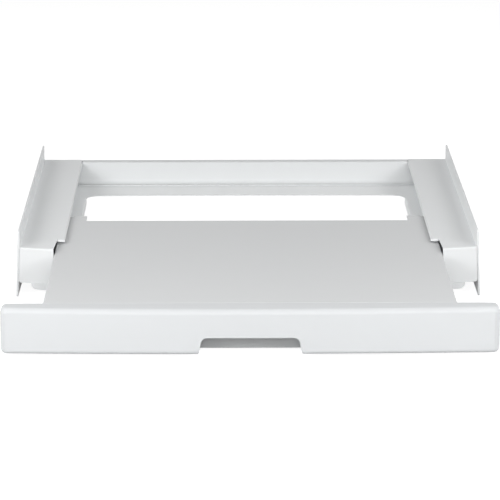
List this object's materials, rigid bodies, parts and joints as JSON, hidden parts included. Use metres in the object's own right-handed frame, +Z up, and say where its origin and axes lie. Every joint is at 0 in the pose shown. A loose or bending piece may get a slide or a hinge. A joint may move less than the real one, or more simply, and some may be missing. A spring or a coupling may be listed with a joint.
{
  "type": "washer dryer stacking kit",
  "caption": "Folded white steel frame that stands on a washing machine and carries a dryer between two side walls, with a pull-out shelf behind a bowed front panel with a finger notch.",
  "frame": {"origin": "under the middle of the whole kit, on the surface that the foot pads stand on, with the shelf pulled out to its stop", "axes": "+Z up, +Y towards the rear of the frame, the front panel faces -Y, +X to the right seen from the front"},
  "size_m": [0.6, 0.83, 0.089],
  "materials": {
    "enamel": "satin white powder coat",
    "white_plastic": "moulded, satin",
    "nylon": "moulded, low friction",
    "rubber": "matt grey",
    "zinc": "bright zinc plate"
  },
  "bodies": {
    "frame": {"left_side_rail": "enamel", "right_side_rail": "enamel", "rear_crossmember": "enamel", "base_pan": "enamel", "front_crossmember": "enamel", "left_plate_support": "enamel", "right_plate_support": "enamel", "left_guide": "nylon", "right_guide": "nylon", "left_flange_cap": "white_plastic", "right_flange_cap": "white_plastic", "foot_front_left": "white_plastic", "foot_front_right": "white_plastic", "foot_rear_left": "white_plastic", "foot_rear_right": "white_plastic", "foot_pad_front_left": "rubber", "foot_pad_front_right": "rubber", "foot_pad_rear_left": "rubber", "foot_pad_rear_right": "rubber", "foot_screw_front_left": "zinc", "foot_screw_front_right": "zinc", "foot_screw_rear_left": "zinc", "foot_screw_rear_right": "zinc", "guide_screw_front_left": "zinc", "guide_screw_front_right": "zinc", "guide_screw_rear_left": "zinc", "guide_screw_rear_right": "zinc"},
    "shelf": {"shelf_plate": "enamel", "front_stiffener": "enamel", "rear_stiffener": "enamel", "front_panel": "white_plastic", "left_bumper": "rubber", "right_bumper": "rubber", "panel_screw_1": "zinc", "panel_screw_2": "zinc", "panel_screw_3": "zinc", "panel_screw_4": "zinc", "panel_screw_5": "zinc", "panel_screw_6": "zinc"}
  },
  "joints": [
    {"name": "shelf_slide", "type": "slide", "parent": "frame", "child": "shelf", "axis": [0, -1, 0], "range_m": [-0.245, 0]}
  ]
}
